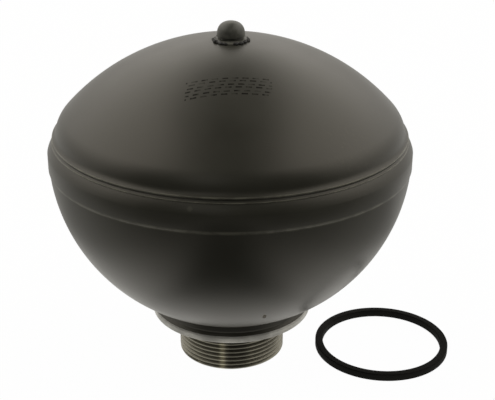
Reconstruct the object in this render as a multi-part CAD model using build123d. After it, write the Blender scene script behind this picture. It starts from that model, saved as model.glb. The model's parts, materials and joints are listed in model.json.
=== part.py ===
# Hydropneumatic suspension accumulator: a welded steel sphere with a threaded neck.
# Units are millimetres. The origin is the centre of the neck's end face. +Z runs up the axis of
# revolution, from the neck to the filling plug, and the sphere stands on its neck.

import math
import os

from build123d import *

os.makedirs("parts", exist_ok=True)

# Neck and collar
thread_radius = 17.5            # M35 x 1.5, over the crests
neck_length = 15.2              # end face to the underside of the collar
neck_chamfer = 0.5
relief_width = 1.6              # undercut where the thread runs out
relief_depth = 1.1
collar_radius = 26.2
collar_height = 3.2
collar_edge = 0.35              # chamfers of the collar
boss_radius = 23.7              # turned diameter that is welded into the bowl
boss_shoulder = 0.6             # slope between the collar and the boss

# Seal on the neck, a square section ring, and its recess under the collar
seal_inner_radius = 20.0
seal_section = 2.5
seal_clearance = 0.25
seal_squeeze = 0.6              # how far the ring stands out of its recess
seal_corner = 0.35
seal_aside = (51.1, -0.7)       # where the loose ring lies, beside the neck

# Shell
wall = 3.5
bowl_radius = 57.15             # outside radius of the lower bowl, a true hemisphere
boss_rise = 1.5                 # top of the collar to where the bowl meets the boss
rim_height = 5.05               # bowl's centre up to the seam
band_height = 9.1               # sized band round the rim, below the seam
band_proud = 0.15               # band over the bowl's radius
band_edge = 0.35
rim_round_height = 4.0          # rounded shoulder of the band, below the seam
rim_round_bulge = 0.17          # that shoulder over a straight slope
rim_ridge_drop = 0.85           # foot of the rim's fine ridge below the seam
rim_ridge_inset = 1.6           # that foot inside the band's surface
rim_ridge_width = 0.4
rim_ridge_proud = 0.2
seam_depth = 1.75               # ridges' feet at the seam, below the band's surface
seam_hollow = 0.3               # groove between the two ridges
weld_ridge_height = 0.95        # upper end of the weld's fine ridge over the seam
weld_ridge_width = 0.45
weld_ridge_proud = 0.15         # its crest over its foot
weld_ridge_lean = 0.15          # its upper end inside its foot
weld_toe_height = 2.5           # where the weld runs out on the dome, over the seam
weld_toe_hollow = 0.15          # the weld's slope under a straight one
crown_radius = 70.6             # outside radius of the shallow upper dome
knuckle_radius = 10.9
dome_setback = 2.35             # dome's skirt inside the bowl's outside radius
skirt_depth = 4.0               # skirt below the seam, inside the rim
skirt_fit = 0.05

# Diaphragm, the ring that clamps it and the button at its centre
sheet_thickness = 1.8
rubber_clearance = 0.2
bead_height = 4.2
bead_width = 4.4
bead_step = 0.5
clamp_flange = 1.9
clamp_lip_depth = 2.7
clamp_lip_width = 1.2
button_stem_radius = 4.7
button_head_radius = 9.0
button_head_height = 1.8
button_plate_height = 1.6
button_overlap = 3.8            # plate over the oil passage
button_seat_gap = 0.1
button_round = 0.5

# Filling plug, resistance welded into the crown
plug_radius = 4.15
plug_head_height = 1.05         # crown to the centre of the plug's round head
plug_lip_height = 0.65          # crown to the underside of the head
plug_lip_chamfer = 0.25
plug_neck_radius = 3.5
plug_shank_radius = 2.6
plug_shank_fit = 0.05
weld_land_height = 0.1          # flat weld round the plug's neck, over the crown
flash_radius = 5.75             # crest of the ring of weld flash
flash_width = 1.1
flash_height = 0.5

# Damper unit in the neck
bore_radius = 12.0
bore_chamfer = 0.6
bore_step = 1.8                 # shoulder between the bore and the oil passage
boss_sill = 2.9                 # top of the boss over the bowl's lowest inside point
axle_cover = 1.5                # top of the boss over the damper's axle
damper_fit = 0.1
damper_height = 5.3
damper_chamfer = 0.4
gasket_height = 0.8
gasket_margin = 0.1
axle_radius = 2.0
axle_fit = 0.05
axle_head_radius = 3.2
axle_head_height = 1.2
bleed_radius = 0.75
shim_count = 3
shim_thickness = 0.3
shim_radius = 7.4
shim_step = 0.8
spacer_radius = 3.2
spacer_height = 0.8
stop_radius = 5.6
stop_height = 1.0
port_count = 3                  # ports for each direction of flow
port_radius = 0.9
port_inner_pitch = 5.6          # where a port opens under its shims
port_outer_pitch = 9.0          # where it opens clear of the other shims
seat_groove_width = 2.6
seat_groove_depth = 0.5
circlip_height = 1.2
circlip_width = 2.2
circlip_seat = 0.9              # how deep the circlip's groove is
circlip_fit = 0.1
circlip_gap = 2.0
lug_radius = 1.4
lug_hole_radius = 0.6

# Heights and radii that follow
collar_top = neck_length + collar_height
bowl_centre = collar_top + boss_rise + math.sqrt(bowl_radius ** 2 - boss_radius ** 2)
seam = bowl_centre + rim_height
bowl_inside = bowl_radius - wall
band_radius = bowl_radius + band_proud
seam_radius = band_radius - seam_depth
skirt_radius = bowl_radius - dome_setback
rim_bore = skirt_radius + skirt_fit
crown_drop = math.sqrt((crown_radius - knuckle_radius) ** 2 - (skirt_radius - knuckle_radius) ** 2)
crown_centre = seam - crown_drop
crown_top = crown_centre + crown_radius
knuckle_centre = (skirt_radius - knuckle_radius, seam)
clamp_top = seam - skirt_depth
ledge = clamp_top - clamp_flange - bead_height
bead_outer = rim_bore - rubber_clearance / 2
bead_inner = bead_outer - bead_width
passage_radius = bore_radius - bore_step

boss_top = bowl_centre - bowl_inside + boss_sill
axle_top = boss_top - axle_cover
upper_stop = axle_top - axle_head_height - stop_height
upper_spacer = upper_stop - spacer_height
damper_top = upper_spacer - shim_count * shim_thickness
bore_shoulder = damper_top + gasket_height
damper_foot = damper_top - damper_height
lower_spacer = damper_foot - shim_count * shim_thickness - spacer_height
lower_stop = lower_spacer - stop_height
axle_foot = lower_stop - axle_head_height
button_foot = boss_top + button_seat_gap
sheet_foot = button_foot + button_plate_height + rubber_clearance


def at(point):
    """Place a (radius, height) pair in the section plane."""
    return (point[0], 0, point[1])


def straight(*points):
    """Straight edges through (radius, height) points."""
    return [Line(at(a), at(b)) for a, b in zip(points, points[1:])]


def arc(start, through, end):
    """One arc through three (radius, height) points."""
    return [ThreePointArc(at(start), at(through), at(end))]


def arc_about(centre, start, end):
    """The short arc from start to end about a centre, all (radius, height)."""
    first = math.atan2(start[1] - centre[1], start[0] - centre[0])
    last = math.atan2(end[1] - centre[1], end[0] - centre[0])
    radius = math.hypot(start[0] - centre[0], start[1] - centre[1])
    middle = (first + last) / 2
    through = (centre[0] + radius * math.cos(middle), centre[1] + radius * math.sin(middle))
    return arc(start, through, end)


def turned(*runs):
    """Revolve a closed outline, given as runs of edges, about the Z axis."""
    edges = [edge for run in runs for edge in run]
    return revolve(Face(Wire(edges)), Axis.Z, 360)


def washer(inner, outer, foot, height):
    """A flat ring."""
    disc = Pos(0, 0, foot) * Cylinder(outer, height, align=(Align.CENTER, Align.CENTER, Align.MIN))
    hole = Pos(0, 0, foot) * Cylinder(inner, height, align=(Align.CENTER, Align.CENTER, Align.MIN))
    return disc - hole


def on_bowl(radius, r):
    """Point at radius r on a sphere about the bowl's centre, below it."""
    return (r, bowl_centre - math.sqrt(radius ** 2 - r ** 2))


def in_bowl(radius, z):
    """Point at height z on a sphere about the bowl's centre."""
    return (math.sqrt(radius ** 2 - (bowl_centre - z) ** 2), z)


def on_crown(radius, r):
    """Point at radius r on a sphere about the crown's centre, above it."""
    return (r, crown_centre + math.sqrt(radius ** 2 - r ** 2))


def crown_knuckle_joint(radius):
    """Where a surface of the crown, at this radius, runs into the knuckle."""
    share = radius / (crown_radius - knuckle_radius)
    return (knuckle_centre[0] * share, crown_centre + crown_drop * share)


def upper_shell():
    hole = plug_shank_radius + plug_shank_fit
    outer_start = on_crown(crown_radius, hole)
    outer_joint = crown_knuckle_joint(crown_radius)
    inner_start = on_crown(crown_radius - wall, hole)
    inner_joint = crown_knuckle_joint(crown_radius - wall)
    toe_radius = knuckle_centre[0] + math.sqrt(knuckle_radius ** 2 - weld_toe_height ** 2)
    toe = (toe_radius, seam + weld_toe_height)
    ridge_end = (seam_radius - weld_ridge_lean, seam + weld_ridge_height)
    ridge_foot = (seam_radius, ridge_end[1] - weld_ridge_width)
    ridge_crest = (seam_radius + weld_ridge_proud, ridge_end[1] - weld_ridge_width / 2)
    slope_middle = ((ridge_end[0] + toe[0]) / 2 - weld_toe_hollow, (ridge_end[1] + toe[1]) / 2)
    inside = skirt_radius - wall
    return turned(
        arc_about((0, crown_centre), outer_start, outer_joint),
        arc_about(knuckle_centre, outer_joint, toe),
        arc(toe, slope_middle, ridge_end),
        arc(ridge_end, ridge_crest, ridge_foot),
        straight(ridge_foot, (seam_radius - seam_hollow, seam), (skirt_radius, seam),
                 (skirt_radius, clamp_top), (inside, clamp_top), (inside, seam)),
        arc_about(knuckle_centre, (inside, seam), inner_joint),
        arc_about((0, crown_centre), inner_joint, inner_start),
        straight(inner_start, outer_start),
    )


def lower_shell():
    hole_outside = on_bowl(bowl_radius, boss_radius)
    hole_inside = on_bowl(bowl_inside, boss_radius)
    band_foot = in_bowl(bowl_radius, seam - band_height)
    round_foot = (band_radius, seam - rim_round_height)
    ridge = (band_radius - rim_ridge_inset, seam - rim_ridge_drop)
    ridge_crest = (ridge[0] + rim_ridge_proud, ridge[1] + rim_ridge_width / 2)
    ridge_top = (ridge[0], ridge[1] + rim_ridge_width)
    round_middle = ((round_foot[0] + ridge[0]) / 2 + rim_round_bulge, (round_foot[1] + ridge[1]) / 2)
    ledge_inside = in_bowl(bowl_inside, ledge)
    return turned(
        arc_about((0, bowl_centre), hole_outside, band_foot),
        straight(band_foot, (band_radius - band_edge / 2, band_foot[1]),
                 (band_radius, band_foot[1] + band_edge), round_foot),
        arc(round_foot, round_middle, ridge),
        arc(ridge, ridge_crest, ridge_top),
        straight(ridge_top, (seam_radius - seam_hollow, seam), (rim_bore, seam), (rim_bore, ledge),
                 ledge_inside),
        arc_about((0, bowl_centre), ledge_inside, hole_inside),
        straight(hole_inside, hole_outside),
    )


def neck_boss():
    relief_radius = thread_radius - relief_depth
    relief_foot = neck_length - relief_width
    gland_inner = seal_inner_radius - seal_clearance
    gland_outer = seal_inner_radius + seal_section + seal_clearance
    gland_top = neck_length + seal_section - seal_squeeze
    edge = collar_radius - collar_edge
    weld_edge = on_bowl(bowl_inside, boss_radius)
    flat_edge = in_bowl(bowl_inside, boss_top)
    groove_radius = bore_radius + circlip_seat
    groove_top = damper_foot
    groove_foot = groove_top - circlip_height - circlip_fit
    return turned(
        straight((bore_radius + bore_chamfer, 0), (thread_radius - neck_chamfer, 0),
                 (thread_radius, neck_chamfer), (thread_radius, relief_foot),
                 (relief_radius, relief_foot + relief_depth), (relief_radius, neck_length),
                 (gland_inner, neck_length), (gland_inner, gland_top), (gland_outer, gland_top),
                 (gland_outer, neck_length), (edge, neck_length),
                 (collar_radius, neck_length + collar_edge), (collar_radius, collar_top - collar_edge),
                 (edge, collar_top), (boss_radius, collar_top + boss_shoulder), weld_edge),
        arc_about((0, bowl_centre), weld_edge, flat_edge),
        straight(flat_edge, (passage_radius, boss_top), (passage_radius, bore_shoulder),
                 (bore_radius, bore_shoulder), (bore_radius, groove_top), (groove_radius, groove_top),
                 (groove_radius, groove_foot), (bore_radius, groove_foot),
                 (bore_radius, bore_chamfer), (bore_radius + bore_chamfer, 0)),
    )


def filling_plug():
    head_centre = crown_top + plug_head_height
    lip = crown_top + plug_lip_height
    land = crown_top + weld_land_height
    flash_outer = on_crown(crown_radius, flash_radius + flash_width / 2)
    flash_crest = on_crown(crown_radius + flash_height, flash_radius)
    flash_inner = (flash_radius - flash_width / 2, land)
    shank_edge = on_crown(crown_radius, plug_shank_radius)
    shank_foot = on_crown(crown_radius - wall, plug_shank_radius)[1]
    return turned(
        straight((0, shank_foot), (plug_shank_radius, shank_foot), shank_edge),
        arc_about((0, crown_centre), shank_edge, flash_outer),
        arc(flash_outer, flash_crest, flash_inner),
        straight(flash_inner, (plug_neck_radius, land), (plug_neck_radius, lip),
                 (plug_radius - plug_lip_chamfer, lip), (plug_radius, lip + plug_lip_chamfer),
                 (plug_radius, head_centre)),
        arc_about((0, head_centre), (plug_radius, head_centre), (0, head_centre + plug_radius)),
        straight((0, head_centre + plug_radius), (0, shank_foot)),
    )


def clamp_ring():
    outer = rim_bore - skirt_fit
    lip_outer = bead_inner - rubber_clearance / 2
    lip_inner = lip_outer - clamp_lip_width
    flange_foot = clamp_top - clamp_flange
    lip_foot = flange_foot - clamp_lip_depth
    chamfer = clamp_lip_width / 3
    return turned(straight(
        (lip_inner, clamp_top - chamfer), (lip_inner + chamfer, clamp_top), (outer, clamp_top),
        (outer, flange_foot), (lip_outer, flange_foot), (lip_outer, lip_foot + chamfer),
        (lip_outer - chamfer, lip_foot), (lip_inner, lip_foot), (lip_inner, clamp_top - chamfer),
    ))


def diaphragm():
    outside = bowl_inside - rubber_clearance
    inside = outside - sheet_thickness
    bead_top = ledge + bead_height
    hole = button_stem_radius + rubber_clearance
    sheet_top = sheet_foot + sheet_thickness
    outer_rim = in_bowl(outside, ledge)
    outer_flat = in_bowl(outside, sheet_foot)
    inner_flat = in_bowl(inside, sheet_top)
    inner_rim = in_bowl(inside, ledge)
    return turned(
        straight((bead_inner, bead_top), (bead_outer, bead_top), (bead_outer, ledge), outer_rim),
        arc_about((0, bowl_centre), outer_rim, outer_flat),
        straight(outer_flat, (hole, sheet_foot), (hole, sheet_top), inner_flat),
        arc_about((0, bowl_centre), inner_flat, inner_rim),
        straight(inner_rim, (bead_inner, ledge + bead_step), (bead_inner, bead_top)),
    )


def diaphragm_button():
    plate_radius = passage_radius + button_overlap
    plate_top = button_foot + button_plate_height
    head_foot = sheet_foot + sheet_thickness + rubber_clearance
    head_top = head_foot + button_head_height
    return turned(straight(
        (0, button_foot), (plate_radius - button_round, button_foot),
        (plate_radius, button_foot + button_round), (plate_radius, plate_top),
        (button_stem_radius, plate_top), (button_stem_radius, head_foot),
        (button_head_radius, head_foot), (button_head_radius, head_top - button_round),
        (button_head_radius - button_round, head_top), (0, head_top), (0, button_foot),
    ))


def damper_body():
    """Disc with two sets of slanting ports and a sunk seat for the shims on each face."""
    radius = bore_radius - damper_fit
    body = turned(straight(
        (axle_radius + axle_fit, damper_foot), (radius - damper_chamfer, damper_foot),
        (radius, damper_foot + damper_chamfer), (radius, damper_top - damper_chamfer),
        (radius - damper_chamfer, damper_top), (axle_radius + axle_fit, damper_top),
        (axle_radius + axle_fit, damper_foot),
    ))
    groove_inner = port_inner_pitch - seat_groove_width / 2
    groove_outer = port_inner_pitch + seat_groove_width / 2
    body -= washer(groove_inner, groove_outer, damper_foot, seat_groove_depth)
    body -= washer(groove_inner, groove_outer, damper_top - seat_groove_depth, seat_groove_depth)
    lean = math.degrees(math.atan2(port_outer_pitch - port_inner_pitch, damper_height))
    middle_radius = (port_inner_pitch + port_outer_pitch) / 2
    middle_height = (damper_foot + damper_top) / 2
    drill = Cylinder(port_radius, 2 * damper_height)
    for index in range(2 * port_count):
        turn = Rot(0, 0, index * 180 / port_count)
        tilt = lean if index % 2 == 0 else -lean
        body -= turn * Pos(middle_radius, 0, middle_height) * Rot(0, tilt, 0) * drill
    return body


def damper_axle():
    """Hollow rivet that holds the damper's stacks, with the bleed hole through it."""
    lower_head_top = axle_foot + axle_head_height
    upper_head_foot = axle_top - axle_head_height
    ease = axle_head_height / 3
    return turned(straight(
        (bleed_radius, axle_foot), (axle_head_radius - ease, axle_foot),
        (axle_head_radius, axle_foot + ease), (axle_head_radius, lower_head_top),
        (axle_radius, lower_head_top), (axle_radius, upper_head_foot),
        (axle_head_radius, upper_head_foot), (axle_head_radius, axle_top - ease),
        (axle_head_radius - ease, axle_top), (bleed_radius, axle_top), (bleed_radius, axle_foot),
    ))


def damper_circlip():
    """Retaining ring with a gap and two lugs for the fitting pliers."""
    outer = bore_radius + circlip_seat - circlip_fit
    inner = outer - circlip_width
    lug_reach = inner - lug_radius * 0.7
    lug_offset = circlip_gap / 2 + lug_radius * 0.8
    spread = math.degrees(math.asin(lug_offset / lug_reach))
    outline = Circle(outer) - Circle(inner)
    for side in (-1, 1):
        outline += Rot(0, 0, side * spread) * Pos(lug_reach, 0) * Circle(lug_radius)
    outline -= Pos(outer, 0) * Rectangle(4 * circlip_width, circlip_gap)
    for side in (-1, 1):
        outline -= Rot(0, 0, side * spread) * Pos(lug_reach, 0) * Circle(lug_hole_radius)
    ring = extrude(outline, circlip_height)
    return Rot(0, 0, 90 / port_count) * Pos(0, 0, damper_foot - circlip_height) * ring


def sealing_ring():
    """Square section ring for the recess under the collar, lying loose beside the neck."""
    inner = seal_inner_radius
    outer = seal_inner_radius + seal_section
    corner = seal_corner
    ring = turned(straight(
        (inner + corner, 0), (outer - corner, 0), (outer, corner), (outer, seal_section - corner),
        (outer - corner, seal_section), (inner + corner, seal_section),
        (inner, seal_section - corner), (inner, corner), (inner + corner, 0),
    ))
    return Pos(seal_aside[0], seal_aside[1], 0) * ring


nodes = {
    "upper_shell": upper_shell(),
    "lower_shell": lower_shell(),
    "neck_boss": neck_boss(),
    "filling_plug": filling_plug(),
    "clamp_ring": clamp_ring(),
    "diaphragm": diaphragm(),
    "diaphragm_button": diaphragm_button(),
    "damper_body": damper_body(),
    "damper_axle": damper_axle(),
    "damper_circlip": damper_circlip(),
    "sealing_ring": sealing_ring(),
}

gasket_inner = passage_radius + gasket_margin
gasket_outer = bore_radius - gasket_margin
shaft_hole = axle_radius + axle_fit
nodes["damper_gasket"] = washer(gasket_inner, gasket_outer, damper_top, gasket_height)
nodes["rebound_spacer"] = washer(shaft_hole, spacer_radius, lower_spacer, spacer_height)
nodes["rebound_stop"] = washer(shaft_hole, stop_radius, lower_stop, stop_height)
nodes["compression_spacer"] = washer(shaft_hole, spacer_radius, upper_spacer, spacer_height)
nodes["compression_stop"] = washer(shaft_hole, stop_radius, upper_stop, stop_height)

# The widest shim of each stack lies on the damper body
for index in range(shim_count):
    outer = shim_radius - index * shim_step
    lower_foot = damper_foot - (index + 1) * shim_thickness
    upper_foot = damper_top + index * shim_thickness
    nodes[f"rebound_shim_{index + 1}"] = washer(shaft_hole, outer, lower_foot, shim_thickness)
    nodes[f"compression_shim_{index + 1}"] = washer(shaft_hole, outer, upper_foot, shim_thickness)

for name, solid in nodes.items():
    export_step(solid, f"parts/{name}.step")
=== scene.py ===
# The finished look of the suspension accumulator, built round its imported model.
# Lengths are metres. The origin is the centre of the neck's end face, +Z runs up the axis of
# revolution, and the camera stands on the -Y side.

import json
import math
import random

import bmesh
import bpy
from bpy.props import FloatProperty, FloatVectorProperty, IntProperty, PointerProperty
from mathutils import Matrix, Vector


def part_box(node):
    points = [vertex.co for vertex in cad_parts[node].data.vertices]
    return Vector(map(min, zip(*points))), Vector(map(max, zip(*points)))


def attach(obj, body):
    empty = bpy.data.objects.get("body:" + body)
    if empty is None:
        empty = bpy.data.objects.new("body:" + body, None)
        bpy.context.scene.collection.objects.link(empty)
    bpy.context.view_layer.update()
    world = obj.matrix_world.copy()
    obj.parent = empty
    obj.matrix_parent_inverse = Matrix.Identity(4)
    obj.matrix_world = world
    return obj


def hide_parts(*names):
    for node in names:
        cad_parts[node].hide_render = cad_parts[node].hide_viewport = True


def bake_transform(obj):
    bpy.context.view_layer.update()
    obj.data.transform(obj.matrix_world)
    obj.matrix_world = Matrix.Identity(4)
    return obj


bl_info = {
    "name": "Suspension accumulator",
    "version": (1, 0, 0),
    "blender": (4, 5, 0),
    "location": "View3D > Sidebar > Accumulator",
    "description": "Builds a painted suspension sphere with its threaded neck and loose seal ring",
    "category": "Object",
}

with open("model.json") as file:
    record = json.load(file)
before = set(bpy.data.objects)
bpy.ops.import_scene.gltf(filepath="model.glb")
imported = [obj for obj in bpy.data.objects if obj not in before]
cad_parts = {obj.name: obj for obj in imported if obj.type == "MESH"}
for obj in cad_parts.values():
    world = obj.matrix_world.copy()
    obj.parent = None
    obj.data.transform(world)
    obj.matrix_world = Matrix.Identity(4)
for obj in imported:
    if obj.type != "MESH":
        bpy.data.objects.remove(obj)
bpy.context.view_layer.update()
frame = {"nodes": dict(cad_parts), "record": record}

MM = 0.001
AROUND = 224                    # steps of a full turn on the large pieces


def size(name, description, default, **more):
    """A length that a user may change, given in millimetres and kept in metres."""
    return FloatProperty(name=name, description=description, default=default * MM, unit="LENGTH",
                         precision=5, **more)


def colour(name, description, default):
    return FloatVectorProperty(name=name, description=description, default=default, size=3,
                               subtype="COLOR", min=0.0, max=1.0)


# Sizes and colours

class ShellSizes(bpy.types.PropertyGroup):
    wall: size("Wall", "Thickness of both pressings", 3.5)
    bowl_radius: size("Bowl radius", "Outside radius of the lower bowl", 57.15)
    crown_radius: size("Crown radius", "Outside radius of the shallow dome", 70.6)
    knuckle_radius: size("Knuckle radius", "Dome's bend into its skirt", 10.9)
    setback: size("Skirt setback", "Dome's skirt inside the bowl's radius", 2.35)
    skirt_depth: size("Skirt depth", "Skirt below the seam", 4.0)
    skirt_fit: size("Skirt fit", "Clearance between the skirt and the rim", 0.05)
    band_height: size("Band height", "Sized band below the seam", 9.1)
    band_edge: size("Band edge", "Chamfer at the band's lower edge", 0.35)
    rim_round_height: size("Rim round", "Height of the band's rounded shoulder", 4.0)
    rim_round_bulge: size("Rim bulge", "Shoulder over a straight slope", 0.17)
    rim_ridge_drop: size("Rim ridge drop", "Foot of the rim's fine ridge below the seam", 0.85)
    rim_ridge_inset: size("Rim ridge inset", "That foot inside the band", 1.6)
    rim_ridge_width: size("Rim ridge width", "Fine ridge of the rim", 0.4)
    rim_ridge_proud: size("Rim ridge proud", "Its crest over its foot", 0.2)
    seam_depth: size("Seam depth", "Feet of the ridges below the band", 1.75)
    seam_hollow: size("Seam hollow", "Groove between the two ridges", 0.2)
    weld_ridge_height: size("Weld ridge height", "Upper end of the weld's ridge over the seam", 0.95)
    weld_ridge_width: size("Weld ridge width", "Fine ridge of the weld", 0.45)
    weld_ridge_proud: size("Weld ridge proud", "Its crest over its foot", 0.15)
    weld_ridge_lean: size("Weld ridge lean", "Its upper end inside its foot", 0.15)
    weld_toe_height: size("Weld toe height", "Where the weld runs out on the dome", 2.5)
    weld_toe_hollow: size("Weld toe hollow", "Weld's slope under a straight one", 0.15)


class PlugSizes(bpy.types.PropertyGroup):
    radius: size("Head radius", "Round head of the filling plug", 4.15)
    full_radius: size("Full radius", "Widest radius of the head", 4.32)
    fullness: FloatProperty(name="Fullness", description="2 is a ball, more fills its shoulders", default=2.4)
    head_height: size("Head height", "Crown to the head's centre", 1.05)
    lip_height: size("Lip height", "Crown to the underside of the head", 0.65)
    lip_round: size("Lip round", "Rounded lower edge of the head", 0.25)
    neck_radius: size("Neck radius", "Plug below its head", 3.5)
    shank_radius: size("Shank radius", "Plug in the dome's hole", 2.6)
    land_height: size("Land height", "Flat weld round the plug", 0.1)
    flash_radius: size("Flash radius", "Ring of weld flash", 5.75)
    flash_width: size("Flash width", "Foot of the weld flash", 1.1)
    bead_ring: size("Bead ring", "Radius of the ring of flash beads", 5.3)
    flash_bead: size("Flash bead", "Radius of a small bead of weld flash", 0.36)


class NeckSizes(bpy.types.PropertyGroup):
    thread_radius: size("Thread radius", "Over the crests of the M35 thread", 17.5)
    pitch: size("Pitch", "Thread pitch", 1.5)
    thread_depth: size("Thread depth", "Crest to root", 0.92)
    length: size("Neck length", "End face to the collar's underside", 15.2)
    chamfer: size("Chamfer", "At the neck's end", 0.5)
    relief_width: size("Relief width", "Undercut above the thread", 1.6)
    relief_depth: size("Relief depth", "Undercut below the crests", 1.1)
    collar_radius: size("Collar radius", "Over the collar", 26.2)
    collar_height: size("Collar height", "Thickness of the collar", 3.2)
    collar_edge: size("Collar edge", "Broken edges of the collar", 0.35)
    boss_radius: size("Boss radius", "Turned diameter above the collar", 23.7)
    boss_shoulder: size("Boss shoulder", "Slope from the collar to the boss", 0.6)
    boss_rise: size("Boss rise", "Collar's top to where the bowl meets the boss", 1.5)
    fillet_reach: size("Fillet reach", "Radius where the weld's fillet runs out on the bowl", 29.8)
    waist: size("Waist", "Radius of the fillet's foot over the collar's lip", 25.3)
    lip_height: size("Lip height", "Collar's lip below the fillet's foot", 2.2)
    bore_radius: size("Bore radius", "Bore that holds the damper", 12.0)
    bore_chamfer: size("Bore chamfer", "At the bore's mouth", 0.6)
    bore_step: size("Bore step", "Shoulder over the damper", 1.8)
    groove_depth: size("Groove depth", "Circlip groove in the bore", 0.9)
    groove_height: size("Groove height", "Circlip groove along the bore", 1.3)


class SealSizes(bpy.types.PropertyGroup):
    inner_radius: size("Inner radius", "Bore of the seal ring", 20.0)
    section: size("Section", "Square section of the seal ring", 2.5)
    corner: size("Corner", "Rounded corners of the section", 0.35)
    clearance: size("Clearance", "Ring to the sides of its recess", 0.25)
    squeeze: size("Squeeze", "Ring's stand out of its recess", 0.6)


class RubberSizes(bpy.types.PropertyGroup):
    sheet: size("Sheet", "Thickness of the diaphragm's sheet", 1.8)
    clearance: size("Clearance", "Rubber to the steel", 0.2)
    bead_height: size("Bead height", "Diaphragm's bead", 4.2)
    bead_width: size("Bead width", "Diaphragm's bead", 4.4)
    bead_step: size("Bead step", "Bead's inner foot over the ledge", 0.5)
    stem_radius: size("Stem radius", "Button's stem through the sheet", 4.7)


class Finishes(bpy.types.PropertyGroup):
    paint: colour("Shell paint", "Dark olive grey paint", (0.034, 0.034, 0.026))
    paint_deep: colour("Deep paint", "Darker clouds in the paint", (0.028, 0.028, 0.021))
    plug_paint: colour("Plug paint", "Paint on the filling plug", (0.088, 0.088, 0.072))
    collar: colour("Collar steel", "Turned steel under a thin wash of paint", (0.52, 0.515, 0.475))
    thread_crest: colour("Thread crest", "Rubbed steel on the crests", (0.205, 0.195, 0.152))
    thread_root: colour("Thread root", "Dark phosphate in the roots", (0.118, 0.112, 0.088))
    turned: colour("Turned steel", "Bare turned steel", (0.45, 0.44, 0.42))
    spring: colour("Spring steel", "Blued spring steel", (0.20, 0.21, 0.24))
    sintered: colour("Damper steel", "Fine machined steel", (0.34, 0.33, 0.31))
    brass: colour("Gasket", "Annealed copper alloy", (0.62, 0.36, 0.20))
    seal: colour("Seal rubber", "Black rubber of the loose ring", (0.006, 0.006, 0.005))
    diaphragm: colour("Diaphragm rubber", "Moulded rubber", (0.028, 0.028, 0.028))
    plastic: colour("Button plastic", "Moulded plastic", (0.75, 0.72, 0.62))
    # Also the colour of the painted shade low on the bowl by the neck.
    ink: colour("Ink", "Plain marks printed on the dome", (0.006, 0.006, 0.006))


class StageSizes(bpy.types.PropertyGroup):
    distance: size("Camera distance", "Camera in front of the axis", 328.46)
    aside: size("Camera aside", "Camera to the right of the axis", 13.58)
    height: size("Camera height", "Camera over the floor", 195.53)
    pitch: FloatProperty(name="Camera pitch", description="Camera's look below the horizon",
                         default=0.4086, subtype="ANGLE")
    roll: FloatProperty(name="Camera roll", description="Turn about the camera's line of sight",
                        default=0.0138, subtype="ANGLE")
    focal_px: FloatProperty(name="Focal length", description="In pixels of the 495 wide frame",
                            default=1103.8)
    centre_px: FloatProperty(name="Centre column", description="Pixel column of the line of sight",
                             default=273.3)
    frame_px: IntProperty(name="Frame width", description="Width of the frame in pixels", default=495)


GROUPS = {
    "accumulator_shell": ShellSizes,
    "accumulator_plug": PlugSizes,
    "accumulator_neck": NeckSizes,
    "accumulator_seal": SealSizes,
    "accumulator_rubber": RubberSizes,
    "accumulator_finish": Finishes,
    "accumulator_stage": StageSizes,
}


def settings(name):
    return getattr(bpy.context.scene, "accumulator_" + name)


# Outlines: lists of (radius, height) points

def arc(centre, start, end, steps):
    """Points of the short arc from start to end about a centre."""
    first = math.atan2(start[1] - centre[1], start[0] - centre[0])
    last = math.atan2(end[1] - centre[1], end[0] - centre[0])
    radius = math.hypot(start[0] - centre[0], start[1] - centre[1])
    turns = [first + (last - first) * k / steps for k in range(steps + 1)]
    return [(centre[0] + radius * math.cos(t), centre[1] + radius * math.sin(t)) for t in turns]


def arc_through(start, middle, end, steps):
    """Points of the arc through three points."""
    (ax, ay), (bx, by), (cx, cy) = start, middle, end
    twice = 2 * (ax * (by - cy) + bx * (cy - ay) + cx * (ay - by))
    a2, b2, c2 = ax * ax + ay * ay, bx * bx + by * by, cx * cx + cy * cy
    centre = ((a2 * (by - cy) + b2 * (cy - ay) + c2 * (ay - by)) / twice,
              (a2 * (cx - bx) + b2 * (ax - cx) + c2 * (bx - ax)) / twice)
    half = max(1, steps // 2)
    return arc(centre, start, middle, half)[:-1] + arc(centre, middle, end, half)


def bent(start, corner, end, steps):
    """Points of a soft bend from start to end, towards a corner."""
    points = []
    for k in range(steps + 1):
        t = k / steps
        near, mid, far = (1 - t) ** 2, 2 * t * (1 - t), t ** 2
        points.append((near * start[0] + mid * corner[0] + far * end[0],
                       near * start[1] + mid * corner[1] + far * end[1]))
    return points


def at_radius(centre, radius, r, above=1):
    """Point at radius r on a sphere about the axis."""
    return (r, centre + above * math.sqrt(radius ** 2 - r ** 2))


def at_height(centre, radius, z):
    """Point at height z on a sphere about the axis."""
    return (math.sqrt(radius ** 2 - (z - centre) ** 2), z)


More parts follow.
